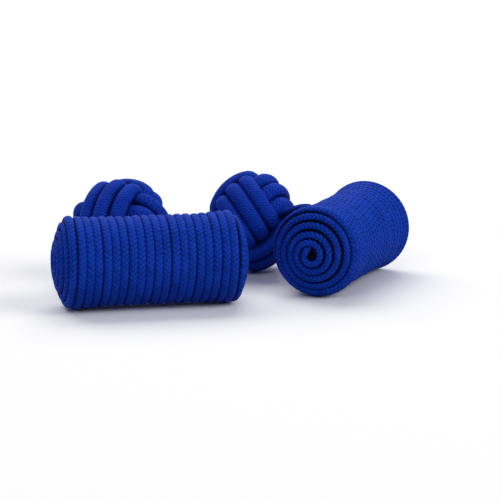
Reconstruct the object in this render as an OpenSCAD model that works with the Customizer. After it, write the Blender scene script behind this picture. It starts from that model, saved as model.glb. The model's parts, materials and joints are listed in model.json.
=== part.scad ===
// A pair of cord cufflinks. Each one is a cord-wound barrel and a round cord knot,
// joined by a short link of two strands. Both lie on a table as they would be laid out.
// Millimetres. +X runs to the right, +Y away from the viewer, +Z up from the table.

/* [Barrels] */
// Length of a barrel between its rims
barrel_len = 20.4; // [19:0.1:22]
// Outside diameter of a barrel at its rims
barrel_rim_d = 11.1; // [10.8:0.1:11.4]
// Outside diameter of a barrel at its waist
barrel_waist_d = 10.5; // [10.2:0.1:10.6]
// Turns of cord along a barrel
body_turns = 19; // [15:1:19]
// Distance from a rim to the last turn along the barrel
rim_set_back = 0.6; // [0.5:0.05:0.7]
// Turns of cord in an end coil
end_turns = 4; // [3:1:4]
// Outside diameter of an end coil
end_coil_d = 10.2; // [9.8:0.1:10.2]
// How far the eye of an end coil stands out past its rim
end_crown = 1.5; // [1:0.1:1.6]
// Thickness of the barrel cord
wrap_d = 0.58; // [0.5:0.02:0.58]

/* [Knots] */
// Diameter of a knot
knot_d = 12.9; // [12.6:0.1:13]
// Thickness of a knot along its link, as a share of its diameter
knot_flatness = 0.88; // [0.88:0.01:1]
// Thickness of the knot cord
knot_cord_d = 1.1; // [1:0.05:1.1]
// Spacing of the strands that lie side by side in a knot
strand_step = 2; // [1.9:0.05:2]
// Drop of a strand where it runs under another
strand_drop = 2; // [1.95:0.05:2.1]
// Diameter of the bead inside a knot
bead_d = 5.4; // [4.8:0.1:5.6]

/* [Links] */
// Thickness of a link strand
link_d = 1.4; // [1.2:0.05:1.5]
// Diameter of the rounded bend where a link leaves its barrel
bend_d = 1.6; // [1.5:0.05:1.7]
// Width of that bend along the barrel
bend_w = 1.8; // [1.6:0.1:2.2]
// Clearance round the pieces that turn
turn_gap = 0.1; // [0.08:0.01:0.12]
// How far the lower strand of a link bows
lower_bow = 0.5; // [0.4:0.05:0.6]

/* [Left cufflink] */
// Middle of the barrel on the table
left_barrel_at = [-10.04, -9.6]; // [-20:0.01:20]
// Heading of the barrel, turned from +X
left_heading = 12.8; // [5:0.1:25]
// Middle of the knot, along and across the barrel
left_knot_at = [-0.5, 17]; // [-3:0.1:18]
// Rise of the link where it leaves the barrel
left_rise = 10; // [5:1:20]
// Turn of the knot about the barrel's length, breadth and height
left_knot_turn = [132, -2, -36]; // [-180:1:180]
// How far the upper strand of the link bows
left_upper_bow = 0.75; // [0.5:0.05:0.9]

/* [Right cufflink] */
// Middle of the barrel on the table
right_barrel_at = [13.16, 4.2]; // [-20:0.01:20]
// Heading of the barrel, turned from +X
right_heading = 68.9; // [55:0.1:75]
// Middle of the knot, along and across the barrel
right_knot_at = [1.8, 12.9]; // [0:0.1:15]
// Rise of the link where it leaves the barrel
right_rise = 32; // [28:1:40]
// Turn of the knot about the barrel's length, breadth and height
right_knot_turn = [-49, -29, -160]; // [-180:1:180]
// How far the upper strand of the link bows
right_upper_bow = 0.5; // [0.4:0.05:0.9]

/* [Hidden] */
$fn = 48;

// The two cufflinks, as places in the lists below
LEFT = 0;
RIGHT = 1;
barrel_at = [left_barrel_at, right_barrel_at];
heading = [left_heading, right_heading];
knot_at = [left_knot_at, right_knot_at];
rise = [left_rise, right_rise];
knot_turn = [left_knot_turn, right_knot_turn];
upper_bow = [left_upper_bow, right_upper_bow];

// Colours
cord_blue = [0.07, 0.16, 0.5];
deep_blue = [0.03, 0.08, 0.3];
bead_tan = [0.72, 0.58, 0.4];

// Cord sections have six sides
cord_sides = 6;
section_turn = 180 / cord_sides;
wrap_r = wrap_d / 2;
knot_cord_r = knot_cord_d / 2;

// A loop of winding is a polygon. It is widened so that its mean radius is the cord's own.
rings_per_loop = 12;
ring_step = 360 / rings_per_loop;
facet_fit = 2 / (1 + cos(ring_step / 2));
facet_in = facet_fit * cos(ring_step / 2);

// The cord is cut flat where it stands on the table
table_cut = wrap_d / 10;
knot_cut = knot_cord_d / 10;
rim_r = barrel_rim_d / 2;
waist_r = barrel_waist_d / 2;
axis_h = rim_r * facet_in - table_cut;

// Barrel body and end coils
body_half = barrel_len / 2 - rim_set_back;
body_pitch = 2 * body_half / body_turns;
waist_power = 4;
wind_gap = 0.02;
coil_gap = 0.06;
coil_outer_r = end_coil_d / 2 - wrap_r;
coil_inner_r = 0.45;
coil_step = (coil_outer_r - coil_inner_r) / end_turns;
coil_lift = 0.1;
coil_base = barrel_len / 2 + coil_lift;
coil_rise = end_crown - wrap_r - coil_lift;

// Tails: the ends of a winding bend round and run straight into holes in the core
tail_bend = 0.45;
tail_clear = 0.12;
tail_hole_r = wrap_r + tail_clear;
tail_hole_depth = 1.4;

// Core and the groove that holds the link's bight
core_steps = 6;
groove_half = 0.9;
bight_r = 0.6;
stub_r = 0.7;
stub_proud = 0.1;
stub_top = waist_r * facet_fit + stub_proud;
bight_clear = 0.05;
bight_path_r = core_r(0) - bight_r - bight_clear;
groove_floor_r = bight_path_r - bight_r - bight_clear;

// Link
link_r = link_d / 2;
bend_r = bend_d / 2;
bend_clear = 0.15;
bend_path_r = waist_r * facet_fit + bend_r + bend_clear;
neck_r = 0.55;
sleeve_r = 1;
sleeve_len = 0.8;
bead_clear = 0.1;
neck_inner = bead_d / 2 + bead_clear;
strand_stop = 0.45;

// Knot: three crossing bands, each of nearly three turns, running over one and under the next
rings_per_turn = 20;
knot_step = 360 / rings_per_turn;
over_r = knot_d / 2 - knot_cord_r;
under_r = over_r - strand_drop;
lane_round = 0.5;
band_square = 4.2;
band_count = 3;
band_starts = [30, 60, 60];
band_ends = [1000, 1000, 950];
first_shift = 270;
second_shift = 630;
shift_span = 90;
joint_pull = 1.2;
joint_steps = 4;

// Vector helpers
function unit(v) = v / norm(v);
function turn_x(v, a) = [v.x, v.y * cos(a) - v.z * sin(a), v.y * sin(a) + v.z * cos(a)];
function turn_y(v, a) = [v.x * cos(a) + v.z * sin(a), v.y, v.z * cos(a) - v.x * sin(a)];
function turn_z(v, a) = [v.x * cos(a) - v.y * sin(a), v.x * sin(a) + v.y * cos(a), v.z];
function on_table(v, s) = turn_z(v, heading[s]) + [barrel_at[s].x, barrel_at[s].y, axis_h];

// Sweep of a cord along a path. Each step of a path is a point and a direction across it.
function heading_at(path, i) =
    unit(path[min(i + 1, len(path) - 1)][0] - path[max(i - 1, 0)][0]);
function ring(path, i, r) =
    let (t = heading_at(path, i), side = path[i][1])
    let (n = unit(side - (side * t) * t), b = cross(t, n))
    [for (k = [0:cord_sides - 1])
        let (a = section_turn + k * 360 / cord_sides)
        path[i][0] + r * (cos(a) * n + sin(a) * b)];
function cord_points(path, r) = [for (i = [0:len(path) - 1]) each ring(path, i, r)];
function cord_faces(rings) = concat(
    [for (i = [0:rings - 2], k = [0:cord_sides - 1])
        let (a = i * cord_sides + k, b = i * cord_sides + (k + 1) % cord_sides)
        each [[a, a + cord_sides, b + cord_sides], [a, b + cord_sides, b]]],
    [for (k = [1:cord_sides - 2]) [0, k, k + 1]],
    [for (k = [1:cord_sides - 2])
        let (e = (rings - 1) * cord_sides)
        [e, e + k + 1, e + k]]);
function rest_on(points, floor_z) = [for (p = points) [p.x, p.y, max(p.z, floor_z)]];

// Least gap between parts of a cord that lie at least half a turn apart along it
function least_gap(path, d, apart) =
    min([for (i = [0:len(path) - 1 - apart], j = [i + apart:len(path) - 1])
        norm(path[i][0] - path[j][0])]) - d;

// The end of a cord: a quarter bend from its own heading into a new one, then a straight run
function tail(from, along, into, side) = [
    [from + tail_bend * (sin(45) * along + (1 - cos(45)) * into), side],
    [from + tail_bend * (along + into), side],
    [from + tail_bend * along + (tail_bend + wrap_d) * into, side],
];
function reversed(list) = [for (i = [len(list) - 1:-1:0]) list[i]];

// Barrel outline and the winding along it
function barrel_r(x) = waist_r + (rim_r - waist_r) * pow(abs(x) / body_half, waist_power);
function body_path_r(x) = (barrel_r(x) - wrap_r) * facet_fit;
function core_r(x) = body_path_r(x) * cos(ring_step / 2) - wrap_r - wind_gap;
function around(a) = [0, cos(a), sin(a)];
function body_angle(a) = ring_step / 2 - a;
function body_place(a) =
    let (x = -body_half + body_pitch * a / 360)
    [x, 0, 0] + body_path_r(x) * around(body_angle(a));
body_span = 360 * body_turns;
body_turn_path = [for (a = [0:ring_step:body_span]) [body_place(a), [1, 0, 0]]];
body_first = body_angle(0);
body_last = body_angle(body_span);
body_path = concat(
    reversed(tail(body_place(0), around(body_first + 90), -around(body_first), [1, 0, 0])),
    body_turn_path,
    tail(body_place(body_span), around(body_last - 90), -around(body_last), [1, 0, 0]));

// End coils: a spiral on a low crown, growing as it turns. The far coil is the near one, turned half round.
function crown(r) = coil_base + coil_rise * (1 - pow(r / coil_outer_r, 2));
function coil_place(a) =
    let (r = coil_inner_r + coil_step * a / 360)
    [-crown(r), 0, 0] + r * facet_fit * around(-a);
coil_span = 360 * end_turns;
coil_end_way = unit([1, 0, 0] - around(-coil_span));
coil_eye_way = unit(around(90) - around(0));
coil_path = concat(
    reversed(tail(coil_place(0), coil_eye_way, [1, 0, 0], around(45))),
    [for (a = [0:ring_step:coil_span]) [coil_place(a), around(-a)]],
    tail(coil_place(coil_span), around(-coil_span - 90), coil_end_way, around(-coil_span)));
far_coil_path = [for (p = coil_path) [turn_z(p[0], 180), turn_z(p[1], 180)]];

// Knot: a band is a rounded rectangle, long where it runs over and short where it runs under.
// It changes lane twice, on the side that faces down, so that its strands lie side by side.
function eased(f) = (1 - cos(180 * min(max(f, 0), 1))) / 2;
function lane(t) = eased((t - first_shift) / shift_span) + eased((t - second_shift) / shift_span) - 1;
function band_r(u, reach) =
    pow(pow(abs(cos(u)) / reach, band_square) + pow(abs(sin(u)) / under_r, band_square), -1 / band_square);
function band_place(band, t) =
    let (u = 180 - t, across = strand_step * lane(t))
    let (reach = sqrt(over_r * over_r - lane_round * across * across))
    let (v = [band_r(u, reach) * cos(u), band_r(u, reach) * sin(u), across])
    [[v.x, v.y, v.z], [v.z, v.x, v.y], [v.y, v.z, v.x]][band];
function band_heading(band, t) = unit(band_place(band, t + 1) - band_place(band, t - 1));
function curve(p0, p1, p2, p3, f) =
    pow(1 - f, 3) * p0 + 3 * pow(1 - f, 2) * f * p1 + 3 * (1 - f) * f * f * p2 + f * f * f * p3;
function band_run(band) =
    let (steps = round((band_ends[band] - band_starts[band]) / knot_step))
    [for (i = [0:steps])
        band_place(band, band_starts[band] + (band_ends[band] - band_starts[band]) * i / steps)];
function band_joint(band) =
    let (t0 = band_ends[band], t3 = band_starts[band + 1])
    let (p0 = band_place(band, t0), p3 = band_place(band + 1, t3))
    let (p1 = p0 + joint_pull * band_heading(band, t0))
    let (p2 = p3 - joint_pull * band_heading(band + 1, t3))
    [for (i = [1:joint_steps - 1]) curve(p0, p1, p2, p3, i / joint_steps)];
knot_line = [for (band = [0:band_count - 1])
    each concat(band_run(band), band < band_count - 1 ? band_joint(band) : [])];

// The knot's place, beside its barrel and down on the table
function turned(v, s) = turn_z(turn_y(turn_x(v, knot_turn[s].x), knot_turn[s].y), knot_turn[s].z);
function link_side(s) = unit([knot_at[s].x, knot_at[s].y, 0]);
function flattened(v, s) = v - (1 - knot_flatness) * (v * link_side(s)) * link_side(s);
function posed(v, s) = flattened(turned(v, s), s);
function knot_path(s) = [for (p = knot_line) let (q = posed(p, s)) [q, unit(q)]];
knot_points = [for (s = [LEFT, RIGHT]) cord_points(knot_path(s), knot_cord_r)];
knot_h = [for (s = [LEFT, RIGHT]) -knot_cut - min([for (p = knot_points[s]) p.z])];
function knot_middle(s) = [knot_at[s].x, knot_at[s].y, knot_h[s] - axis_h];

// The link runs from a bend just outside the winding to the face of the knot
function bend_at(s) = bend_path_r * [0, cos(rise[s]), sin(rise[s])];
function link_way(s) = unit(knot_middle(s) - bend_at(s));
function link_len(s) = norm(knot_middle(s) - bend_at(s)) - knot_d / 2 * knot_flatness;
function way_turn(s) = atan2(link_way(s).y, link_way(s).x);
function way_lift(s) = asin(link_way(s).z);
function bow_r(s, bow) = (pow(link_len(s) / 2, 2) + bow * bow) / (2 * bow);

// Places a cufflink's pieces on the table
module in_place(s) {
    translate([barrel_at[s].x, barrel_at[s].y, axis_h])
        rotate([0, 0, heading[s]])
            children();
}

// Puts +X along the link, from the bend, with +Z up in the link's own upright plane
module along_link(s) {
    translate(bend_at(s))
        rotate([0, -way_lift(s), way_turn(s)])
            children();
}

// A cord as one solid
module cord(points) {
    polyhedron(points, cord_faces(len(points) / cord_sides));
}

// A hole for the tail of a winding
module tail_hole(from, into) {
    translate(from)
        rotate([0, acos(into.z), atan2(into.y, into.x)])
            cylinder(r = tail_hole_r, h = 2 * tail_hole_depth, center = true);
}

// Former that the cord is wound on: waisted, with crowned ends and a groove at mid-length
module barrel_core(s) {
    shoulder = crown(coil_outer_r) - wrap_r - coil_gap;
    crown_line = [for (i = [0:core_steps])
        let (r = coil_outer_r * i / core_steps)
        [r, crown(r) - wrap_r - coil_gap]];
    side_line = [for (i = [0:core_steps])
        let (x = body_half * (1 - i / core_steps) + groove_half * i / core_steps)
        [core_r(x), x]];
    half_line = concat(crown_line, [[core_r(body_half), shoulder]], side_line, [[groove_floor_r, groove_half]]);
    outline = concat(half_line, [for (p = reversed(half_line)) [p.x, -p.y]]);
    first_out = around(body_first);
    last_out = around(body_last);
    coil_end = coil_place(coil_span) + tail_bend * around(-coil_span - 90);
    coil_eye = coil_place(0) + tail_bend * coil_eye_way;
    color(bead_tan)
        in_place(s)
            difference() {
                rotate([0, 90, 0])
                    rotate_extrude()
                        polygon(outline);
                tail_hole(body_place(0) + tail_bend * around(body_first + 90), -first_out);
                tail_hole(body_place(body_span) + tail_bend * around(body_last - 90), -last_out);
                for (half_turn = [0, 180])
                    rotate([0, 0, half_turn]) {
                        tail_hole(coil_end, coil_end_way);
                        tail_hole(coil_eye, [1, 0, 0]);
                    }
            }
}

// Cord wound along the barrel
module barrel_winding(s) {
    color(cord_blue)
        in_place(s)
            cord(rest_on(cord_points(body_path, wrap_r), -axis_h));
}

// Cord coiled flat over one end of the barrel
module end_coil(s, path) {
    color(cord_blue)
        in_place(s)
            cord(cord_points(path, wrap_r));
}

// Hidden bight of the link in the core's groove, and the stub that comes out through the winding
module link_anchor(s) {
    color(deep_blue)
        in_place(s)
            difference() {
                union() {
                    rotate([0, 90, 0])
                        rotate_extrude()
                            translate([bight_path_r, 0])
                                circle(bight_r);
                    rotate([rise[s] - 90, 0, 0])
                        translate([0, 0, bight_path_r])
                            cylinder(r = stub_r, h = stub_top - bight_path_r);
                }
                translate(bend_at(s))
                    rotate([0, 90, 0])
                        cylinder(r = bend_r + turn_gap, h = 2 * bend_w, center = true);
            }
}

// One strand of a link, bowed up or down in the link's upright plane
module link_strand(s, bow) {
    reach = bow_r(s, abs(bow));
    half = asin(link_len(s) / 2 / reach);
    rotate([90, 0, 0])
        mirror([0, bow < 0 ? 1 : 0, 0])
            translate([link_len(s) / 2, abs(bow) - reach, 0])
                rotate([0, 0, 90 - half])
                    rotate_extrude(angle = 2 * half)
                        translate([reach, 0])
                            circle(link_r);
}

// Loop of cord between the barrel and the knot: the bend, two strands and the end round the neck
module link_cord(s) {
    stop = link_len(s) - strand_stop;
    color(cord_blue)
        in_place(s) {
            translate(bend_at(s))
                rotate([0, 90, 0])
                    cylinder(r = bend_r, h = bend_w, center = true);
            along_link(s)
                difference() {
                    union() {
                        link_strand(s, upper_bow[s]);
                        link_strand(s, -lower_bow);
                        translate([stop - sleeve_len, 0, 0])
                            rotate([0, 90, 0])
                                cylinder(r = sleeve_r, h = sleeve_len);
                    }
                    translate([stop, -knot_d / 2, -knot_d / 2])
                        cube(knot_d);
                    translate([stop - sleeve_len, 0, 0])
                        rotate([0, 90, 0])
                            cylinder(r = neck_r + turn_gap, h = 2 * sleeve_len);
                }
        }
}

// Ball knot of one unbroken cord
module knot_cord(s) {
    color(cord_blue)
        in_place(s)
            translate(knot_middle(s))
                cord(rest_on(knot_points[s], -knot_h[s]));
}

// Bead that the knot is tied over
module knot_bead(s) {
    color(bead_tan)
        in_place(s)
            translate(knot_middle(s))
                sphere(d = bead_d);
}

// Gathered cord that stands out of the knot and that the link turns on
module knot_neck(s) {
    start = link_len(s) - strand_stop - sleeve_len + turn_gap;
    deep = link_len(s) + knot_d / 2 * knot_flatness - neck_inner;
    color(deep_blue)
        in_place(s)
            along_link(s)
                translate([start, 0, 0])
                    rotate([0, 90, 0])
                        cylinder(r = neck_r, h = deep - start);
}

echo("barrel winding, least gap", least_gap(body_turn_path, wrap_d, rings_per_loop / 2));
echo("end coil, least gap", least_gap(coil_path, wrap_d, rings_per_loop / 2));
for (s = [LEFT, RIGHT]) {
    echo("bend", s, on_table(bend_at(s), s), "along", turn_z([1, 0, 0], heading[s]));
    echo("knot", s, on_table(knot_middle(s), s), "link way", turn_z(link_way(s), heading[s]));
    echo("link length", s, link_len(s));
    echo("knot cord, least gap", s, least_gap(knot_path(s), knot_cord_d, rings_per_turn / 3));
}

barrel_core(LEFT);  // left_barrel_core
barrel_winding(LEFT);  // left_barrel_winding
end_coil(LEFT, coil_path);  // left_near_end_coil
end_coil(LEFT, far_coil_path);  // left_far_end_coil
link_anchor(LEFT);  // left_link_anchor
link_cord(LEFT);  // left_link_cord
knot_cord(LEFT);  // left_knot_cord
knot_bead(LEFT);  // left_knot_bead
knot_neck(LEFT);  // left_knot_neck
barrel_core(RIGHT);  // right_barrel_core
barrel_winding(RIGHT);  // right_barrel_winding
end_coil(RIGHT, coil_path);  // right_near_end_coil
end_coil(RIGHT, far_coil_path);  // right_far_end_coil
link_anchor(RIGHT);  // right_link_anchor
link_cord(RIGHT);  // right_link_cord
knot_cord(RIGHT);  // right_knot_cord
knot_bead(RIGHT);  // right_knot_bead
knot_neck(RIGHT);  // right_knot_neck
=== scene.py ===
"""Looks of a pair of blue cord cufflinks: wound barrels, ball knots and the short links between them.

Shapes are worked out in millimetres, in each cufflink's own frame, and turned to metres for the mesh.
That frame has its origin in the middle of the barrel, +X along the barrel, +Y towards the knot and +Z up.
"""

import json
import logging
import math
from dataclasses import dataclass, replace
from enum import Enum

import bpy
import numpy as np
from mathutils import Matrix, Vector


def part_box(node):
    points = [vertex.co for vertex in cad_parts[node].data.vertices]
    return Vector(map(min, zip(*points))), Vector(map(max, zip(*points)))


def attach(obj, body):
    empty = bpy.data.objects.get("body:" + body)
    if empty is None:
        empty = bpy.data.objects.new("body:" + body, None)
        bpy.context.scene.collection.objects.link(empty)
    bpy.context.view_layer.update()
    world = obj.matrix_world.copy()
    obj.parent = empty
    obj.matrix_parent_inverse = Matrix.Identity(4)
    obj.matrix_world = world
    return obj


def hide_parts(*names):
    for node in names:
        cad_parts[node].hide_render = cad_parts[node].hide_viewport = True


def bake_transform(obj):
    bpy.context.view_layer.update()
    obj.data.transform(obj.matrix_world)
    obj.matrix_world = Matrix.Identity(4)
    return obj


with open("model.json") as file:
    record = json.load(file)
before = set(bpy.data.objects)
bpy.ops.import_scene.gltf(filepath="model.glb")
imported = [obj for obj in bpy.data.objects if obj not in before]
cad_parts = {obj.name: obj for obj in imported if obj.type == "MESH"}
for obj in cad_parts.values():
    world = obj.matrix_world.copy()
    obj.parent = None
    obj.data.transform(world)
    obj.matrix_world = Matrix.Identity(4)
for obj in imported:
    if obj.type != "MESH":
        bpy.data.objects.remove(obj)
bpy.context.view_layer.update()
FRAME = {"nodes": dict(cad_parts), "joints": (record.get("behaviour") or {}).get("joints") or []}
LOG = logging.getLogger("cufflinks")

MM = 0.001
TABLE_HEIGHT = 0.0
PHOTO_PX = 500.0
UP = np.array([0.0, 0.0, 1.0])
AHEAD = np.array([1.0, 0.0, 0.0])
QUARTERS = 4.0
HALF_STROKE = 0.5
NOISE_MIDDLE = 0.5
DRIFT_WAVES = ((1.0, 0.5), (2.3, 0.3), (4.7, 0.2))
DRIFT_PHASE = 1.7
WHITE = (1.0, 1.0, 1.0, 1.0)
MIX_FIRST, MIX_SECOND, MIX_RESULT = 6, 7, 2
RELIEF = "relief"
CORD_MAP = "cord_map"

Colour = tuple[float, float, float]
Place = tuple[float, float, float]
Scale = tuple[float, float, float]
Pair = tuple[float, float]
Points = np.ndarray


class Side(Enum):
    """The two cufflinks of the pair."""

    LEFT = "left"
    RIGHT = "right"

    def named(self, part: str) -> str:
        """The name of this cufflink's part, as the frame has it."""
        return f"{self.value}_{part}"


class Weave(Enum):
    """How the yarns of a cord lie on its face."""

    PLAIT = "V-shaped strokes that meet along the middle of the face"
    KNIT = "columns of small V-shaped stitches side by side"


def unit(vectors: Points) -> Points:
    """Vectors of length one, along the last axis."""
    return vectors / np.linalg.norm(vectors, axis=-1, keepdims=True)


def turned(points: Points, axis: int, degrees: float) -> Points:
    """Turns points about a coordinate axis by the right-hand rule.

    Args:
        points: Points as rows.
        axis: 0, 1 or 2 for X, Y or Z.
        degrees: Angle of the turn.

    Returns:
        The turned points.
    """
    first, second = (axis + 1) % 3, (axis + 2) % 3
    cosine, sine = math.cos(math.radians(degrees)), math.sin(math.radians(degrees))
    out = points.copy()
    out[..., first] = cosine * points[..., first] - sine * points[..., second]
    out[..., second] = sine * points[..., first] + cosine * points[..., second]
    return out


def eased(share: Points) -> Points:
    """Goes smoothly from 0 to 1 as share does, and stays level outside."""
    return (1 - np.cos(math.pi * np.clip(share, 0, 1))) / 2


def drift(along: Points, length: float, seed: int) -> Points:
    """A slow wander between about -1 and 1, the same on every run.

    Args:
        along: Places along a cord.
        length: Length of the slowest wave.
        seed: Chooses the wander.

    Returns:
        The wander at each place.
    """
    return sum(
        share * np.sin(2 * math.pi * rate * along / length + DRIFT_PHASE * seed + rate)
        for rate, share in DRIFT_WAVES
    )


def bezier(p0: Points, p1: Points, p2: Points, p3: Points, share: Points) -> Points:
    """A smooth run between two points.

    Args:
        p0: Where it starts.
        p1: The point that it heads for at its start.
        p2: The point that it comes from at its end.
        p3: Where it ends.
        share: How far along each wanted point is, from 0 to 1, as a column.

    Returns:
        The points of the run.
    """
    left = 1 - share
    return left**3 * p0 + 3 * left**2 * share * p1 + 3 * left * share**2 * p2 + share**3 * p3


class Socket:
    """A shader value that takes part in Python expressions. Each operator adds a Math node."""

    def __init__(self, board: "NodeBoard", socket: bpy.types.NodeSocket) -> None:
        """Wraps a socket of a board's tree."""
        self.board = board
        self.socket = socket

    def _math(self, operation: str, first: "Socket | float", second: "Socket | float") -> "Socket":
        """Adds a Math node."""
        return self.board.node("ShaderNodeMath", {"operation": operation}, {0: first, 1: second})

    def __add__(self, other: "Socket | float") -> "Socket":
        """self + other"""
        return self._math("ADD", self, other)

    def __radd__(self, other: float) -> "Socket":
        """other + self"""
        return self._math("ADD", other, self)

    def __sub__(self, other: "Socket | float") -> "Socket":
        """self - other"""
        return self._math("SUBTRACT", self, other)

    def __rsub__(self, other: float) -> "Socket":
        """other - self"""
        return self._math("SUBTRACT", other, self)

    def __mul__(self, other: "Socket | float") -> "Socket":
        """self * other"""
        return self._math("MULTIPLY", self, other)

    def __rmul__(self, other: float) -> "Socket":
        """other * self"""
        return self._math("MULTIPLY", other, self)

    def __pow__(self, other: float) -> "Socket":
        """self ** other"""
        return self._math("POWER", self, other)

    def __rpow__(self, other: float) -> "Socket":
        """other ** self"""
        return self._math("POWER", other, self)

    def __abs__(self) -> "Socket":
        """abs(self)"""
        return self.board.node("ShaderNodeMath", {"operation": "ABSOLUTE"}, {0: self})


class NodeBoard:
    """A node tree that is filled by expressions."""

    def __init__(self, tree: bpy.types.NodeTree) -> None:
        """Clears a tree and takes it over."""
        self.tree = tree
        tree.nodes.clear()

    def node(
        self,
        kind: str,
        settings: dict[str, object] | None = None,
        inputs: dict[str | int, object] | None = None,
        output: str | int = 0,
    ) -> Socket | None:
        """Adds a node.

        Args:
            kind: Blender's name for the node's type.
            settings: Properties of the node, set before its sockets.
            inputs: Values or sockets to feed, by name or place.
            output: The output that is wanted, by name or place.

        Returns:
            The wanted output, or None for a node that has none.
        """
        made = self.tree.nodes.new(kind)
        for name, value in (settings or {}).items():
            setattr(made, name, value)
        for name, value in (inputs or {}).items():
            if isinstance(value, Socket):
                self.tree.links.new(value.socket, made.inputs[name])
            else:
                made.inputs[name].default_value = value
        return Socket(self, made.outputs[output]) if len(made.outputs) else None

    def mixed(self, factor: Socket | float, first: object, second: object, blend: str = "MIX") -> Socket:
        """Mixes two colours.

        Args:
            factor: Share of the second colour.
            first: First colour or socket.
            second: Second colour or socket.
            blend: Blender's name for the way of mixing.

        Returns:
            The mixed colour.
        """
        colours = [c if isinstance(c, Socket) else (*c, 1.0) for c in (first, second)]
        return self.node(
            "ShaderNodeMix",
            {"data_type": "RGBA", "blend_type": blend},
            {0: factor, MIX_FIRST: colours[0], MIX_SECOND: colours[1]},
            MIX_RESULT,
        )

    def noise(self, place: Socket, scale: float, detail: float) -> Socket:
        """A noise between about 0 and 1."""
        return self.node("ShaderNodeTexNoise", None, {"Vector": place, "Scale": scale, "Detail": detail})

    def bump(self, height: Socket, strength: float, depth: float) -> Socket:
        """A normal that follows a height. The depth is in metres."""
        inputs = {"Height": height, "Strength": strength, "Distance": depth}
        return self.node("ShaderNodeBump", None, inputs)


@dataclass(frozen=True)
class CordKind:
    """A sort of cord: its section, and the relief of its face."""

    width: float
    height: float
    weave: Weave
    period: float
    depth: float
    face_sides: int
    back_sides: int
    rings_per_period: int
    lean: float
    columns: int = 9
    face_spread: float = math.radians(200)
    seam_depth: float = 0.45
    seam_width: float = 0.14
    yarn_round: float = 0.7

    @property
    def step(self) -> float:
        """Distance between rings along the cord."""
        return self.period / self.rings_per_period

    def angles(self) -> Points:
        """Angles round the section from the middle of the face, closer together on the face.

        Returns:
            The angles, in turning order.
        """
        half = self.face_spread / 2
        face = np.linspace(-half, half, self.face_sides + 1)
        back = np.linspace(half, 2 * math.pi - half, self.back_sides + 1)[1:-1]
        return np.concatenate([face, back])

    def relief(self, angles: Points, along: Points) -> Points:
        """Height of the face, from 0 in the grooves to 1 on the yarns.

        Args:
            angles: Angles round the section, from the middle of the face.
            along: Places along the cord, as a column.

        Returns:
            A height for each place and angle.
        """
        wrapped = (angles + math.pi) % (2 * math.pi) - math.pi
        if self.weave is Weave.PLAIT:
            fold = np.abs(wrapped) / (math.pi / 2)
            fold = np.where(fold > 1, 2 - fold, fold)
            stroke = along / self.period - self.lean * fold + np.where(wrapped >= 0, HALF_STROKE, 0.0)
            seam = 1 - self.seam_depth * np.exp(-((fold / self.seam_width) ** 2))
            return np.abs(np.sin(math.pi * stroke)) ** self.yarn_round * seam
        column = (wrapped / (2 * math.pi) * self.columns) % 1
        stroke = along / self.period - self.lean * np.abs(2 * column - 1)
        return np.abs(np.sin(math.pi * stroke)) ** self.yarn_round

    def stroke(self, turn: Socket, along: Socket) -> Socket:
        """The same strokes in a finish, counted along the cord.

        Args:
            turn: Turns round the section, from the middle of the face.
            along: Place along the cord.

        Returns:
            A count that is whole in the grooves.
        """
        board = turn.board
        count = along * (1 / self.period)
        if self.weave is Weave.PLAIT:
            fold = abs(turn) * QUARTERS
            flip = board.node("ShaderNodeMath", {"operation": "GREATER_THAN"}, {0: turn, 1: 0.0})
            return count - fold * self.lean + flip * HALF_STROKE
        column = {0: turn * self.columns, 1: HALF_STROKE}
        fold = board.node("ShaderNodeMath", {"operation": "PINGPONG"}, column) * (1 / HALF_STROKE)
        return count - (1.0 - fold) * self.lean


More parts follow.
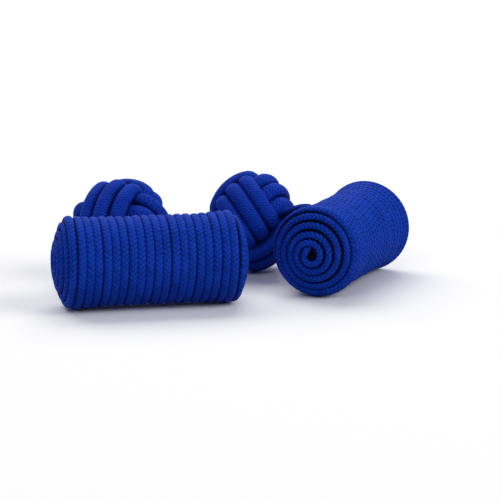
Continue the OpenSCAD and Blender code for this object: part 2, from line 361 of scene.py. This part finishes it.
@dataclass(frozen=True)
class CordFinish:
    """Dyed cord with slow mottling, fine fibres and a soft sheen, darkened by painted shade between the
    yarns, in the hollows of its relief and on its flanks.
    """

    name: str
    slot: str
    cord: CordKind
    crest: Colour
    # Colour of the painted shade between the yarns, in the hollows and on the flanks.
    painted_groove_shade: Colour
    evenness: float
    sharpness: float = 0.5
    sheen: float = 0.015
    sheen_tint: Colour = (0.30, 0.45, 1.0)
    sheen_rough: float = 0.4
    specular: float = 0.05
    ior: float = 1.4
    smoothest: float = 0.50
    roughest: float = 0.80
    yarn_gloss: float = 0.7
    faintest_yarn: float = 0.6
    yarn_range: float = 0.55
    raggedness: float = 0.9
    ragged_scale: float = 3600.0
    ragged_detail: float = 2.0
    mottle_scale: float = 420.0
    mottle_detail: float = 3.0
    mottle_dark: Colour = (0.76, 0.78, 0.80)
    mottle_pale: Colour = (1.22, 1.20, 1.16)
    fibre_scale: Scale = (90.0, 9.0, 1.0)
    fibre_detail: float = 4.0
    fibre_share: float = 0.5
    relief_painted_shade_share: float = 0.3
    flank_from: float = 0.12
    flank_to: float = 0.24
    darkest_painted_flank: float = 0.1
    bump_strength: float = 0.7
    bump_depth: float = 0.00008

    def material(self) -> bpy.types.Material:
        """Makes the finish.

        Returns:
            A material that reads the cord's own map and relief.
        """
        made = bpy.data.materials.new(self.name)
        made.use_nodes = True
        board = NodeBoard(made.node_tree)
        relief = board.node("ShaderNodeAttribute", {"attribute_name": RELIEF}, output="Fac")
        place = board.node("ShaderNodeTexCoord", output="Object")
        cord_map = board.node("ShaderNodeUVMap", {"uv_map": CORD_MAP})
        turn = board.node("ShaderNodeSeparateXYZ", None, {"Vector": cord_map}, "X")
        along = board.node("ShaderNodeSeparateXYZ", None, {"Vector": cord_map}, "Y")
        mottle = board.noise(place, self.mottle_scale, self.mottle_detail)
        ragged = board.noise(place, self.ragged_scale, self.ragged_detail)
        stroke = self.cord.stroke(turn, along) + (ragged - NOISE_MIDDLE) * self.raggedness
        wave = board.node("ShaderNodeMath", {"operation": "SINE"}, {0: stroke * math.pi})
        yarn = abs(wave) ** self.sharpness
        count = board.node("ShaderNodeMath", {"operation": "FLOOR"}, {0: stroke})
        chance = board.node("ShaderNodeTexWhiteNoise", {"noise_dimensions": "1D"}, {"W": count}, "Value")
        fibre_map = board.node("ShaderNodeMapping", None, {"Vector": cord_map, "Scale": self.fibre_scale})
        fibre = board.noise(fibre_map, 1.0, self.fibre_detail)
        # Painted shade on the flanks of the cord, where neighbouring turns meet: full colour in the middle
        # of the face, falling to a low level towards the sides.
        painted_edge_shade = board.node(
            "ShaderNodeMapRange",
            {"interpolation_type": "SMOOTHSTEP"},
            {
                "Value": abs(turn),
                "From Min": self.flank_from,
                "From Max": self.flank_to,
                "To Min": 1.0,
                "To Max": self.darkest_painted_flank,
            },
        )
        # Painted shade between the strokes: the colour falls towards the groove colour between yarns, less
        # so the higher evenness is; each yarn's strength is a random tone of its own.
        strength = self.faintest_yarn + chance * self.yarn_range
        body = self.evenness + (1 - self.evenness) * (yarn * strength)
        # Painted shade in the hollows of the relief adds to this, fibre noise adds random tone, and the
        # flank mask then darkens the sides.
        lift = (body + relief * self.relief_painted_shade_share + (fibre - NOISE_MIDDLE) * self.fibre_share) * painted_edge_shade
        # Painted shade: the groove colour is mixed in where the count above is low; the crest colour is the
        # cord's own dye.
        dye_and_painted_shade = board.mixed(lift, self.painted_groove_shade, self.crest)
        shade = board.mixed(mottle, self.mottle_dark, self.mottle_pale)
        colour = board.mixed(1.0, dye_and_painted_shade, shade, "MULTIPLY")
        gloss = yarn * self.yarn_gloss + fibre * (1 - self.yarn_gloss)
        rough = self.roughest - (self.roughest - self.smoothest) * gloss
        bump = board.bump(fibre * self.fibre_share + yarn, self.bump_strength, self.bump_depth)
        shader = board.node(
            "ShaderNodeBsdfPrincipled",
            None,
            {
                "Base Color": colour,
                "Roughness": rough,
                "Normal": bump,
                "IOR": self.ior,
                "Specular IOR Level": self.specular,
                "Sheen Weight": self.sheen,
                "Sheen Roughness": self.sheen_rough,
                "Sheen Tint": (*self.sheen_tint, 1.0),
            },
            "BSDF",
        )
        board.node("ShaderNodeOutputMaterial", None, {"Surface": shader})
        return made


@dataclass(frozen=True)
class FormerFinish:
    """Wood with grain along X, coloured a dark blue that stands as painted shade where it shows at the
    bottom of a gap between two cords.
    """

    name: str
    pale: Colour
    dark: Colour
    grain_scale: Scale = (180.0, 1500.0, 1500.0)
    grain_detail: float = 5.0
    smoothest: float = 0.6
    rough_range: float = 0.25
    specular: float = 0.05
    bump_strength: float = 0.3
    bump_depth: float = 0.00005

    def material(self) -> bpy.types.Material:
        """Makes the finish.

        Returns:
            A material with grain along X.
        """
        made = bpy.data.materials.new(self.name)
        made.use_nodes = True
        board = NodeBoard(made.node_tree)
        place = board.node("ShaderNodeTexCoord", output="Object")
        stretch = board.node("ShaderNodeMapping", None, {"Vector": place, "Scale": self.grain_scale})
        grain = board.noise(stretch, 1.0, self.grain_detail)
        shader = board.node(
            "ShaderNodeBsdfPrincipled",
            None,
            {
                "Base Color": board.mixed(grain, self.dark, self.pale),
                "Roughness": self.smoothest + grain * self.rough_range,
                "Normal": board.bump(grain, self.bump_strength, self.bump_depth),
                "Specular IOR Level": self.specular,
            },
            "BSDF",
        )
        board.node("ShaderNodeOutputMaterial", None, {"Surface": shader})
        return made


@dataclass
class CordPath:
    """A cord's middle line, and the way its face looks at each point."""

    points: Points
    faces: Points

    def along(self) -> Points:
        """Distance of each point from the start, along the line."""
        steps = np.linalg.norm(np.diff(self.points, axis=0), axis=1)
        return np.concatenate([[0.0], np.cumsum(steps)])

    def resampled(self, step: float) -> "CordPath":
        """The same line with evenly spaced points.

        Args:
            step: About how far apart the points are.

        Returns:
            A new path.
        """
        along = self.along()
        places = np.linspace(0, along[-1], max(2, round(along[-1] / step) + 1))
        columns = [np.interp(places, along, column) for column in np.hstack([self.points, self.faces]).T]
        table = np.stack(columns, axis=1)
        return CordPath(table[:, :3], unit(table[:, 3:]))

    def rings(self, kind: CordKind) -> tuple[Points, Points]:
        """Sweeps a cord along the line.

        Args:
            kind: The sort of cord.

        Returns:
            Rings of points, and the relief at each point.
        """
        tangents = unit(np.gradient(self.points, axis=0))
        faces = unit(self.faces - np.sum(self.faces * tangents, axis=1, keepdims=True) * tangents)
        sides = np.cross(tangents, faces)
        angles = kind.angles()
        relief = kind.relief(angles[None, :], self.along()[:, None])
        across = (kind.width / 2 * np.sin(angles))[None, :]
        outward = (kind.height / 2 * np.cos(angles))[None, :]
        swell = 1 + kind.depth * (relief - 1) / (kind.height / 2)
        offsets = (across * swell)[..., None] * sides[:, None, :]
        offsets = offsets + (outward * swell)[..., None] * faces[:, None, :]
        return self.points[:, None, :] + offsets, relief


def joined(*paths: CordPath) -> CordPath:
    """Joins paths end to end."""
    return CordPath(
        np.concatenate([p.points for p in paths]),
        np.concatenate([p.faces for p in paths]),
    )


@dataclass
class Placement:
    """Where a cufflink lies, read from the frame."""

    side: Side

    def __post_init__(self) -> None:
        """Reads the barrel, the joints and the knot from the frame."""
        joints = {joint["name"]: joint for joint in FRAME["joints"]}
        fold = joints[self.side.named("link_fold")]
        twist = joints[self.side.named("knot_twist")]
        low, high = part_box(self.side.named("barrel_core"))
        self.middle = np.array((low + high) / 2) / MM
        self.along = unit(np.array(fold["axis"], float))
        self.across = np.cross(UP, self.along)
        self.bend = self.local(np.array(fold["pos_m"]) / MM)
        self.knot = self.local(np.array(twist["pos_m"]) / MM)
        self.way = self.local(np.array(twist["axis"]), is_place=False)
        self.floor = TABLE_HEIGHT - self.middle[2]

    def local(self, point: Points, is_place: bool = True) -> Points:
        """A point or direction of the row frame, in the cufflink's own frame."""
        moved = point - self.middle if is_place else point
        return np.array([moved @ self.along, moved @ self.across, moved @ UP])

    def world(self, points: Points) -> Points:
        """Points of the cufflink's own frame in the row frame, in metres."""
        basis = np.stack([self.along, self.across, UP])
        return (points @ basis + self.middle) * MM


class CordPiece:
    """A length of cord as a mesh object."""

    def __init__(self, name: str, place: Placement, path: CordPath, kind: CordKind) -> None:
        """Sweeps a cord along a path and keeps it above the table.

        Args:
            name: Name of the object.
            place: Where the cufflink lies.
            path: The cord's line in the cufflink's own frame.
            kind: The sort of cord.
        """
        rings, relief = path.rings(kind)
        rings[..., 2] = np.maximum(rings[..., 2], place.floor)
        self.object = self._mesh_object(name, place.world(rings), relief, path.along(), kind)

    @staticmethod
    def _mesh_object(
        name: str, rings: Points, relief: Points, along: Points, kind: CordKind
    ) -> bpy.types.Object:
        """Joins rings into a closed skin with a map along the cord.

        Args:
            name: Name of the object.
            rings: Rings of points, in metres.
            relief: Height of the face at each point.
            along: Distance of each ring along the cord.
            kind: The sort of cord.

        Returns:
            The object, linked into the scene.
        """
        count, sides = rings.shape[:2]
        ring = np.arange(count - 1)[:, None] * sides
        this = np.arange(sides)[None, :]
        following = (this + 1) % sides
        quads = np.stack([ring + this, ring + following, ring + sides + following, ring + sides + this], -1)
        faces = quads.reshape(-1, 4).tolist()
        faces.append(list(range(sides))[::-1])
        faces.append(list(range((count - 1) * sides, count * sides)))
        mesh = bpy.data.meshes.new(name)
        mesh.from_pydata(rings.reshape(-1, 3).tolist(), [], faces)
        turn = np.append(kind.angles(), kind.angles()[0] + 2 * math.pi) / (2 * math.pi)
        corners_u = np.stack([turn[:-1], turn[1:], turn[1:], turn[:-1]], -1)
        corners_v = np.stack([along[:-1], along[:-1], along[1:], along[1:]], -1)
        shape = (count - 1, sides, 4)
        table = np.stack(
            [np.broadcast_to(corners_u[None], shape), np.broadcast_to(corners_v[:, None], shape)], -1
        )
        flat = np.concatenate([table.reshape(-1), np.zeros(4 * sides)])
        mesh.uv_layers.new(name=CORD_MAP).data.foreach_set("uv", flat.astype(np.float32))
        heights = mesh.attributes.new(RELIEF, "FLOAT", "POINT")
        heights.data.foreach_set("value", relief.reshape(-1).astype(np.float32))
        mesh.polygons.foreach_set("use_smooth", np.ones(len(faces), bool))
        mesh.update()
        made = bpy.data.objects.new(name, mesh)
        bpy.context.scene.collection.objects.link(made)
        return made

    def dressed(self, finish: bpy.types.Material) -> bpy.types.Object:
        """Gives the cord its finish.

        Args:
            finish: The material of its finish.

        Returns:
            The cord's object.
        """
        self.object.data.materials.append(finish)
        return self.object


WRAP_CORD = CordKind(
    width=1.09,
    height=1.0,
    weave=Weave.PLAIT,
    period=0.54,
    depth=0.035,
    face_sides=10,
    back_sides=4,
    rings_per_period=6,
    lean=0.85,
)
COIL_CORD = replace(WRAP_CORD, width=0.9, depth=0.09)
KNOT_CORD = CordKind(
    width=2.12,
    height=2.0,
    weave=Weave.KNIT,
    period=0.34,
    depth=0.05,
    face_sides=20,
    back_sides=6,
    rings_per_period=5,
    lean=0.55,
)
LINK_CORD = CordKind(
    width=1.4,
    height=1.4,
    weave=Weave.KNIT,
    period=0.3,
    depth=0.03,
    face_sides=16,
    back_sides=6,
    rings_per_period=5,
    lean=0.5,
    columns=7,
)


@dataclass
class Barrel:
    """A waisted barrel, wound from eye to eye with plaited cord that coils over each end."""

    place: Placement
    body_half: float = 9.61
    rim_r: float = 5.57
    waist_r: float = 5.29
    waist_power: float = 4.0
    pitch: float = 1.0
    eye_r: float = 0.7
    dome_r: float = 4.7
    dome_base: float = 10.02
    crown: float = 1.24
    first_angle: float = math.radians(15)
    tail_bend: float = 0.8
    tail_len: float = 1.0
    wander: float = 0.08
    pitch_wave: float = 2.7
    pitch_seed: int = 3
    lift_wave: float = 1.3
    lift_seed: int = 5
    lift_share: float = 0.5
    points_per_turn: int = 120
    dome_points: int = 60
    body_points: int = 400
    tail_points: int = 12
    far_flare: float = 0.0
    far_flare_power: int = 3
    eye_shift: Pair = (0.0, 0.0)

    def radius(self, x: Points) -> Points:
        """Outside radius of the barrel.

        Args:
            x: Distance from the waist, along the barrel.

        Returns:
            The radius at each distance.
        """
        share = x / self.body_half
        flare = (self.rim_r - self.waist_r) * np.abs(share) ** self.waist_power
        return self.waist_r + flare + self.far_flare * np.clip(share, 0, 1) ** self.far_flare_power

    @staticmethod
    def around(angles: Points) -> Points:
        """Directions square to the barrel."""
        return np.stack([np.zeros_like(angles), np.cos(angles), np.sin(angles)], -1)

    def profile(self) -> Points:
        """The line that the turns follow, from the near eye to the far one.

        Returns:
            Rows of a place along the barrel and a distance from its axis.
        """
        r = np.linspace(self.eye_r, self.dome_r, self.dome_points)
        dome = np.stack([-self.dome_base - self.crown * (1 - (r / self.dome_r) ** 2), r], -1)
        x = np.linspace(-self.body_half, self.body_half, self.body_points)
        body = np.stack([x, self.radius(x) - WRAP_CORD.height / 2], -1)
        return np.concatenate([dome, body, (dome * np.array([-1.0, 1.0]))[::-1]])

    def cord_line(self) -> CordPath:
        """The whole cord, without its tails.

        Returns:
            The cord's line in the cufflink's own frame.
        """
        profile = self.profile()
        reach = np.insert(np.cumsum(np.linalg.norm(np.diff(profile, axis=0), axis=1)), 0, 0.0)
        count = round(reach[-1] / self.pitch * self.points_per_turn)
        turn = np.linspace(0, reach[-1] / self.pitch, count)
        edge = np.clip(np.minimum(turn, turn[-1] - turn), 0, 1)
        place = turn * self.pitch + self.wander * edge * drift(turn, self.pitch_wave, self.pitch_seed)
        window = np.hanning(self.points_per_turn // 2)
        margin = len(window) // 2
        columns = []
        for column in profile.T:
            level = np.pad(np.interp(place, reach, column), margin, mode="reflect", reflect_type="odd")
            columns.append(np.convolve(level, window / window.sum(), "same")[margin:-margin])
        x, r = columns
        slope = unit(np.stack([np.gradient(x), np.gradient(r)], -1))
        spokes = self.around(self.first_angle - 2 * math.pi * turn)
        faces = slope[:, :1] * spokes - slope[:, 1:] * AHEAD
        lift = self.lift_share * self.wander * edge * drift(turn, self.lift_wave, self.lift_seed)
        points = r[:, None] * spokes + x[:, None] * AHEAD + lift[:, None] * faces
        inwards = np.clip((self.dome_r - r) / (self.dome_r - self.eye_r), 0, 1) * (x < 0)
        points[:, 1:] += inwards[:, None] * np.array(self.eye_shift)
        points[:, 2] += self.place.floor + self.rim_r
        return CordPath(points, faces)

    def tail(self, start: Points, heading: Points, into: Points, face: Points) -> CordPath:
        """The end of the cord: a quarter bend into the barrel, then a straight run.

        Args:
            start: Point that the bend starts from.
            heading: The way the cord runs there.
            into: The way into the barrel.
            face: The way the cord's face looks there.

        Returns:
            The tail, from its start.
        """
        bend = np.linspace(0, math.pi / 2, self.tail_points)[1:, None]
        arc = start + self.tail_bend * (np.sin(bend) * heading + (1 - np.cos(bend)) * into)
        arc_faces = np.cos(bend) * face + np.sin(bend) * heading
        end = arc[-1] + self.tail_len * into
        return CordPath(np.vstack([arc, end]), np.vstack([arc_faces, arc_faces[-1]]))

    def routes(self) -> dict[str, CordPath]:
        """Cuts the cord where it leaves the body for an end.

        Returns:
            Three lengths of cord, by the node that each replaces.
        """
        line = self.cord_line()
        points, faces = line.points, line.faces
        near = int(np.argmax(points[:, 0] > -self.dome_base))
        far = len(points) - 1 - int(np.argmax(points[::-1, 0] < self.dome_base))
        eye = self.tail(points[0], unit(points[0] - points[1]), AHEAD, faces[0])
        end = self.tail(points[-1], unit(points[-1] - points[-2]), -AHEAD, faces[-1])
        start = CordPath(eye.points[::-1], eye.faces[::-1])
        return {
            "near_end_coil": joined(start, CordPath(points[: near + 1], faces[: near + 1])),
            "barrel_winding": CordPath(points[near : far + 1], faces[near : far + 1]),
            "far_end_coil": joined(CordPath(points[far:], faces[far:]), end),
        }

    def build(self, finish: CordFinish, material: bpy.types.Material) -> list[bpy.types.Object]:
        """Makes the winding and both coils, and lets them ride on the barrel.

        Args:
            finish: The cord's finish; not used.
            material: The material made from it.

        Returns:
            The barrel's pieces.
        """
        side = self.place.side
        pieces = []
        for part, route in self.routes().items():
            name = side.named(part)
            kind = WRAP_CORD if part == "barrel_winding" else COIL_CORD
            path = route.resampled(kind.step)
            piece = CordPiece(f"{name}_plaited", self.place, path, kind).dressed(material)
            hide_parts(name)
            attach(piece, side.named("barrel"))
            pieces.append(piece)
        return pieces


@dataclass
class Knot:
    """A ball knot of one cord: three crossing bands, each running over one and under the next."""

    place: Placement
    turn: tuple[float, float, float]
    diameter: float
    flatness: float
    settle: Pair
    strand_step: float = 2.08
    sink: float = 1.8
    dive_start: float = 32.0
    dive_end: float = 64.0
    under_round: float = 0.3
    starts: tuple[float, float, float] = (80.0, 60.0, 60.0)
    ends: tuple[float, float, float] = (1000.0, 1000.0, 980.0)
    shifts: Pair = (270.0, 630.0)
    shift_span: float = 90.0
    joint_pull: float = 1.2
    bridge_points: int = 14
    degrees_per_point: int = 3

    @property
    def over_r(self) -> float:
        """Distance from the knot's middle to a strand that runs over."""
        return self.diameter / 2 - KNOT_CORD.height / 2

    def lane(self, t: Points) -> Points:
        """Which of a band's three lanes a strand is in, from -1 to 1."""
        first, second = (eased((t - shift) / self.shift_span) for shift in self.shifts)
        return first + second - 1

    def band(self, number: int, t: Points) -> Points:
        """Points of a band.

        Args:
            number: Which of the three bands.
            t: How far round the band, in degrees.

        Returns:
            Points about the knot's middle.
        """
        u = np.radians(180 - t)
        across = self.strand_step * self.lane(t)
        over = np.sqrt(self.over_r**2 - across**2)
        under = np.sqrt((self.over_r - self.sink) ** 2 - self.under_round * across**2)
        from_over = np.degrees(np.arccos(np.abs(np.cos(u))))
        r = under + (over - under) * eased((self.dive_end - from_over) / (self.dive_end - self.dive_start))
        return np.roll(np.stack([r * np.cos(u), r * np.sin(u), across], -1), number, axis=-1)

    def bridge(self, number: int) -> Points:
        """The hidden run from the end of one band to the start of the next.

        Args:
            number: The band that it leaves.

        Returns:
            Points between the two, without the ends.
        """
        leave = self.band(number, self.ends[number] + np.array([-1.0, 0.0]))
        arrive = self.band(number + 1, self.starts[number + 1] + np.array([0.0, 1.0]))
        p0, p3 = leave[1], arrive[0]
        p1 = p0 + self.joint_pull * unit(leave[1] - leave[0])
        p2 = p3 - self.joint_pull * unit(arrive[1] - arrive[0])
        return bezier(p0, p1, p2, p3, np.linspace(0, 1, self.bridge_points)[1:-1, None])

    def path(self) -> CordPath:
        """The whole cord, turned and flattened as the knot lies.

        Returns:
            The cord's line about the knot's middle.
        """
        runs = []
        for number, (start, end) in enumerate(zip(self.starts, self.ends)):
            count = round(end - start) // self.degrees_per_point
            runs.append(self.band(number, np.linspace(start, end, count)))
            if number < len(self.starts) - 1:
                runs.append(self.bridge(number))
        points = np.concatenate(runs)
        for axis, angle in enumerate(self.turn):
            points = turned(points, axis, angle)
        link_side = unit(self.place.knot * np.array([1.0, 1.0, 0.0]))
        points = points - (1 - self.flatness) * (points @ link_side)[:, None] * link_side
        return CordPath(points, unit(points))

    def build(self, finish: CordFinish, material: bpy.types.Material) -> bpy.types.Object:
        """Makes the knot, down on the table, and lets it ride.

        Args:
            finish: The cord's finish; not used.
            material: The material made from it.

        Returns:
            The knot.
        """
        side = self.place.side
        route = self.path().resampled(KNOT_CORD.step)
        lowest = route.rings(KNOT_CORD)[0][..., 2].min()
        middle = self.place.knot.copy()
        middle[:2] += self.settle
        middle[2] = self.place.floor - lowest
        name = side.named("knot_cord")
        settled = CordPath(route.points + middle, route.faces)
        piece = CordPiece(f"{name}_knitted", self.place, settled, KNOT_CORD).dressed(material)
        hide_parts(name)
        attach(piece, side.named("knot"))
        return piece


@dataclass
class Link:
    """Two bowed strands of cord between a barrel and its knot."""

    place: Placement
    settle: Pair
    knot_drop: float
    spread: float = 9.0
    barrel_r: float = 4.4
    barrel_pull: float = 2.0
    knot_r: float = 5.68
    knot_depth: float = 1.2
    knot_pull: float = 1.6
    knot_spread: float = 0.55
    strand_points: int = 60

    def strand_path(self, level: int) -> CordPath:
        """One strand, from inside the winding to inside the knot.

        Args:
            level: 1 for the upper strand, -1 for the lower one.

        Returns:
            The strand's path.
        """
        bend, way = self.place.bend, self.place.way
        angle = math.atan2(bend[2], bend[1]) + level * math.radians(self.spread)
        outward = np.array([0.0, math.cos(angle), math.sin(angle)])
        lift = unit(UP - (UP @ way) * way)
        p0 = self.barrel_r * outward
        p1 = p0 + self.barrel_pull * outward
        p3 = self.place.knot - (self.knot_r - self.knot_depth) * way
        p3 = p3 + level * self.knot_spread * lift
        p3[:2] += self.settle
        p3[2] -= self.knot_drop
        p2 = p3 - (self.knot_depth + self.knot_pull) * way
        points = bezier(p0, p1, p2, p3, np.linspace(0, 1, self.strand_points)[:, None])
        return CordPath(points, np.tile(level * lift, (self.strand_points, 1)))

    def build(self, finish: CordFinish, material: bpy.types.Material) -> list[bpy.types.Object]:
        """Makes the strands, each cut into a half at the barrel and a half at the knot.

        Args:
            finish: The cord's finish; not used.
            material: The material made from it.

        Returns:
            The link's pieces.
        """
        side = self.place.side
        pieces = []
        for label, level in (("upper", 1), ("lower", -1)):
            route = self.strand_path(level).resampled(LINK_CORD.step)
            cut = len(route.points) // 2
            halves = {
                "barrel": CordPath(route.points[: cut + 1], route.faces[: cut + 1]),
                "knot": CordPath(route.points[cut:], route.faces[cut:]),
            }
            for body, half in halves.items():
                name = side.named(f"link_{label}_strand_at_{body}")
                piece = CordPiece(name, self.place, half, LINK_CORD).dressed(material)
                start, end = (tuple(point) for point in self.place.world(half.points[[0, -1]]))
                first, second = ("barrel", "link") if body == "barrel" else ("link", "knot")
                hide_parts(side.named("link_cord"))
                side.named(first)
                side.named(second)
                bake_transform(piece)
                pieces.append(piece)
        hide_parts(side.named("link_anchor"))
        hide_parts(side.named("knot_neck"))
        return pieces


@dataclass(frozen=True)
class SoftBox:
    """A soft box that looks at the middle of the table. Its sizes are in metres."""

    name: str
    place: Place
    size: Pair
    watts: float

    def add(self) -> None:
        """Hangs the lamp in the scene."""
        data = bpy.data.lights.new(self.name, "AREA")
        data.shape = "RECTANGLE"
        data.size, data.size_y = self.size
        data.energy = self.watts
        lamp = bpy.data.objects.new(self.name, data)
        lamp.location = self.place
        lamp.rotation_euler = (-lamp.location).to_track_quat("-Z", "Y").to_euler()
        bpy.context.scene.collection.objects.link(lamp)


@dataclass
class Studio:
    """White table, soft light and the camera of the photograph."""

    target: Place = (1.565, -2.045, 0.0)
    target_px: Pair = (248.4, 292.7)
    distance: float = 300.0
    elevation: float = 11.84
    focal_px: float = 2473.7
    sensor_mm: float = 36.0
    table_size: float = 6.0
    table_white: float = 0.55
    table_seen: Colour = (1.26, 1.24, 1.175)
    fill: float = 0.2
    fill_tint: Colour = (0.80, 0.87, 1.20)
    near_clip: float = 0.01
    lamps: tuple[SoftBox, ...] = (
        SoftBox("overhead_soft_box", (-0.25, 0.95, 1.2), (1.8, 1.2), 16.0),
        SoftBox("front_soft_box", (-0.3, -1.5, 1.1), (1.0, 1.0), 5.0),
        SoftBox("right_soft_box", (1.3, -0.5, 0.9), (1.2, 1.0), 9.6),
    )

    def add_camera(self) -> None:
        """Adds the camera and aims it as the photograph was taken."""
        data = bpy.data.cameras.new("photo_camera")
        data.sensor_width = self.sensor_mm
        data.lens = self.focal_px / PHOTO_PX * self.sensor_mm
        data.clip_start = self.near_clip
        camera = bpy.data.objects.new("photo_camera", data)
        down = math.radians(self.elevation)
        back = np.array([0.0, -math.cos(down), math.sin(down)])
        camera.location = (np.array(self.target) + self.distance * back) * MM
        right_of_middle = math.atan((self.target_px[0] - PHOTO_PX / 2) / self.focal_px)
        below_middle = math.atan((self.target_px[1] - PHOTO_PX / 2) / self.focal_px)
        camera.rotation_euler = (math.pi / 2 - down + below_middle, 0.0, right_of_middle)
        bpy.context.scene.collection.objects.link(camera)
        bpy.context.scene.camera = camera

    def seen(self, board: NodeBoard) -> Socket:
        """Tells the rays that show the surroundings from those that light the object.

        Args:
            board: The node tree that asks.

        Returns:
            1 for a ray from the camera, a reflection or a clear surface, and 0 elsewhere.
        """
        kinds = ("Camera", "Glossy", "Transmission")
        rays = [board.node("ShaderNodeLightPath", output=f"Is {kind} Ray") for kind in kinds]
        either = {0: rays[0] + rays[1], 1: rays[2]}
        return board.node("ShaderNodeMath", {"operation": "ADD", "use_clamp": True}, either)

    def add_table(self) -> None:
        """Adds a wide white table that keeps the shadows."""
        bpy.ops.object.select_all(action="DESELECT")
        bpy.ops.mesh.primitive_plane_add(size=self.table_size, location=(0.0, 0.0, TABLE_HEIGHT))
        table = bpy.context.active_object
        table.name = "table"
        white = bpy.data.materials.new("white_table")
        white.use_nodes = True
        board = NodeBoard(white.node_tree)
        plain = board.node("ShaderNodeBsdfDiffuse", None, {"Color": (*[self.table_white] * 3, 1.0)})
        shown = board.node("ShaderNodeBsdfDiffuse", None, {"Color": (*self.table_seen, 1.0)})
        both = board.node("ShaderNodeMixShader", None, {0: self.seen(board), 1: plain, 2: shown})
        board.node("ShaderNodeOutputMaterial", None, {"Surface": both})
        table.data.materials.append(white)

    def add_light(self) -> None:
        """Adds the soft boxes and a room that looks white but lights dimly."""
        world = bpy.data.worlds.new("white_room")
        world.use_nodes = True
        board = NodeBoard(world.node_tree)
        tint = (*self.fill_tint, 1.0)
        dim = board.node("ShaderNodeBackground", None, {"Color": tint, "Strength": self.fill})
        white = board.node("ShaderNodeBackground", None, {"Color": WHITE, "Strength": 1.0})
        both = board.node("ShaderNodeMixShader", None, {0: self.seen(board), 1: dim, 2: white})
        board.node("ShaderNodeOutputWorld", None, {"Surface": both})
        bpy.context.scene.world = world
        for lamp in self.lamps:
            lamp.add()


BARREL_FINISH = CordFinish(
    "blue_plaited_cord",
    "barrel_cord",
    WRAP_CORD,
    crest=(0.0082, 0.064, 0.575),
    painted_groove_shade=(0.0005, 0.003, 0.04),
    evenness=0.12,
)
KNOT_FINISH = CordFinish(
    "blue_knitted_cord",
    "knot_cord",
    KNOT_CORD,
    crest=(0.0100, 0.062, 0.57),
    painted_groove_shade=(0.001, 0.005, 0.06),
    evenness=0.2,
    sharpness=0.7,
)
LINK_FINISH = CordFinish(
    "blue_link_cord",
    "link_cord",
    LINK_CORD,
    crest=(0.0085, 0.044, 0.43),
    painted_groove_shade=(0.001, 0.005, 0.06),
    evenness=0.3,
    sharpness=0.7,
)
# A near-black blue: painted shade in the gaps between the turns and in the eye of each coil, where the core
# shows through.
FORMER_FINISH = FormerFinish("dark_wood_as_painted_shade", (0.003, 0.008, 0.035), (0.001, 0.004, 0.016))
# A dark blue: painted shade in the gaps of the knot, where the bead shows through.
BEAD_FINISH = FormerFinish("dark_bead_as_painted_shade", (0.005, 0.024, 0.19), (0.003, 0.014, 0.11))

EYE_SHIFTS = {Side.LEFT: (0.0, 0.0), Side.RIGHT: (0.2, -0.22)}
FAR_FLARES = {Side.LEFT: 0.0, Side.RIGHT: 0.22}
KNOT_SIZES = {Side.LEFT: 12.7, Side.RIGHT: 12.9}
KNOT_FLATNESS = {Side.LEFT: 0.90, Side.RIGHT: 0.80}
KNOT_SETTLES = {Side.LEFT: (0.15, 0.8), Side.RIGHT: (1.0, 0.17)}
LINK_DROPS = {Side.LEFT: 0.0, Side.RIGHT: 0.8}
KNOT_TURNS = {Side.LEFT: (134.0, 0.2, -39.0), Side.RIGHT: (-49.2, -29.6, -166.3)}


def dress_node(name: str, material: bpy.types.Material) -> None:
    """Gives a node of the frame its finish.

    Args:
        name: Name of the node.
        material: The material of its finish.
    """
    node = FRAME["nodes"][name]
    node.data.materials.clear()
    node.data.materials.append(material)


def main() -> None:
    """Builds the studio, then each cufflink."""
    logging.basicConfig(level=logging.INFO)
    bpy.context.scene.view_settings.view_transform = "Standard"
    studio = Studio()
    studio.add_camera()
    studio.add_table()
    studio.add_light()
    finishes = (BARREL_FINISH, KNOT_FINISH, LINK_FINISH, FORMER_FINISH, BEAD_FINISH)
    materials = {finish.name: finish.material() for finish in finishes}
    for side in Side:
        place = Placement(side)
        barrel = Barrel(place, far_flare=FAR_FLARES[side], eye_shift=EYE_SHIFTS[side])
        pieces = barrel.build(BARREL_FINISH, materials[BARREL_FINISH.name])
        knot = Knot(place, KNOT_TURNS[side], KNOT_SIZES[side], KNOT_FLATNESS[side], KNOT_SETTLES[side])
        pieces.append(knot.build(KNOT_FINISH, materials[KNOT_FINISH.name]))
        link = Link(place, KNOT_SETTLES[side], LINK_DROPS[side])
        pieces += link.build(LINK_FINISH, materials[LINK_FINISH.name])
        dress_node(side.named("barrel_core"), materials[FORMER_FINISH.name])
        dress_node(side.named("knot_bead"), materials[BEAD_FINISH.name])
        for piece in pieces:
            LOG.info("%s: %d faces", piece.name, len(piece.data.polygons))


if __name__ == "__main__":
    main()
